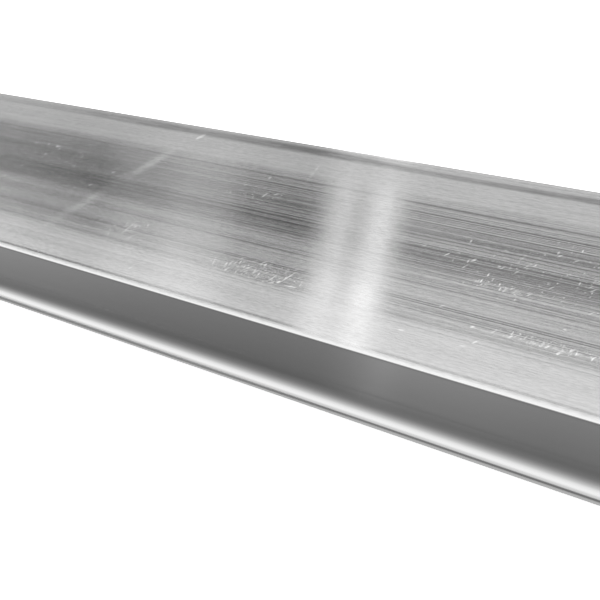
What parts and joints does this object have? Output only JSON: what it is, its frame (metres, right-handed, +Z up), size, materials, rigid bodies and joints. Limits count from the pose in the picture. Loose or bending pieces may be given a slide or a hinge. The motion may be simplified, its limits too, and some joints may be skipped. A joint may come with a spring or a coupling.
{
  "type": "aluminium extrusion profile",
  "caption": "Mill-finish aluminium channel profile with a wide flat face, upright sides and narrow outward lips.",
  "frame": {"origin": "middle of the length and width, at the level of the lip undersides", "axes": "+X along the length, +Z up through the wide face, -Y towards the front side"},
  "size_m": [1, 0.067, 0.018],
  "materials": {
    "aluminium": "mill finish, die lines along the length"
  },
  "bodies": {
    "root": {"profile": "aluminium"}
  },
  "joints": []
}
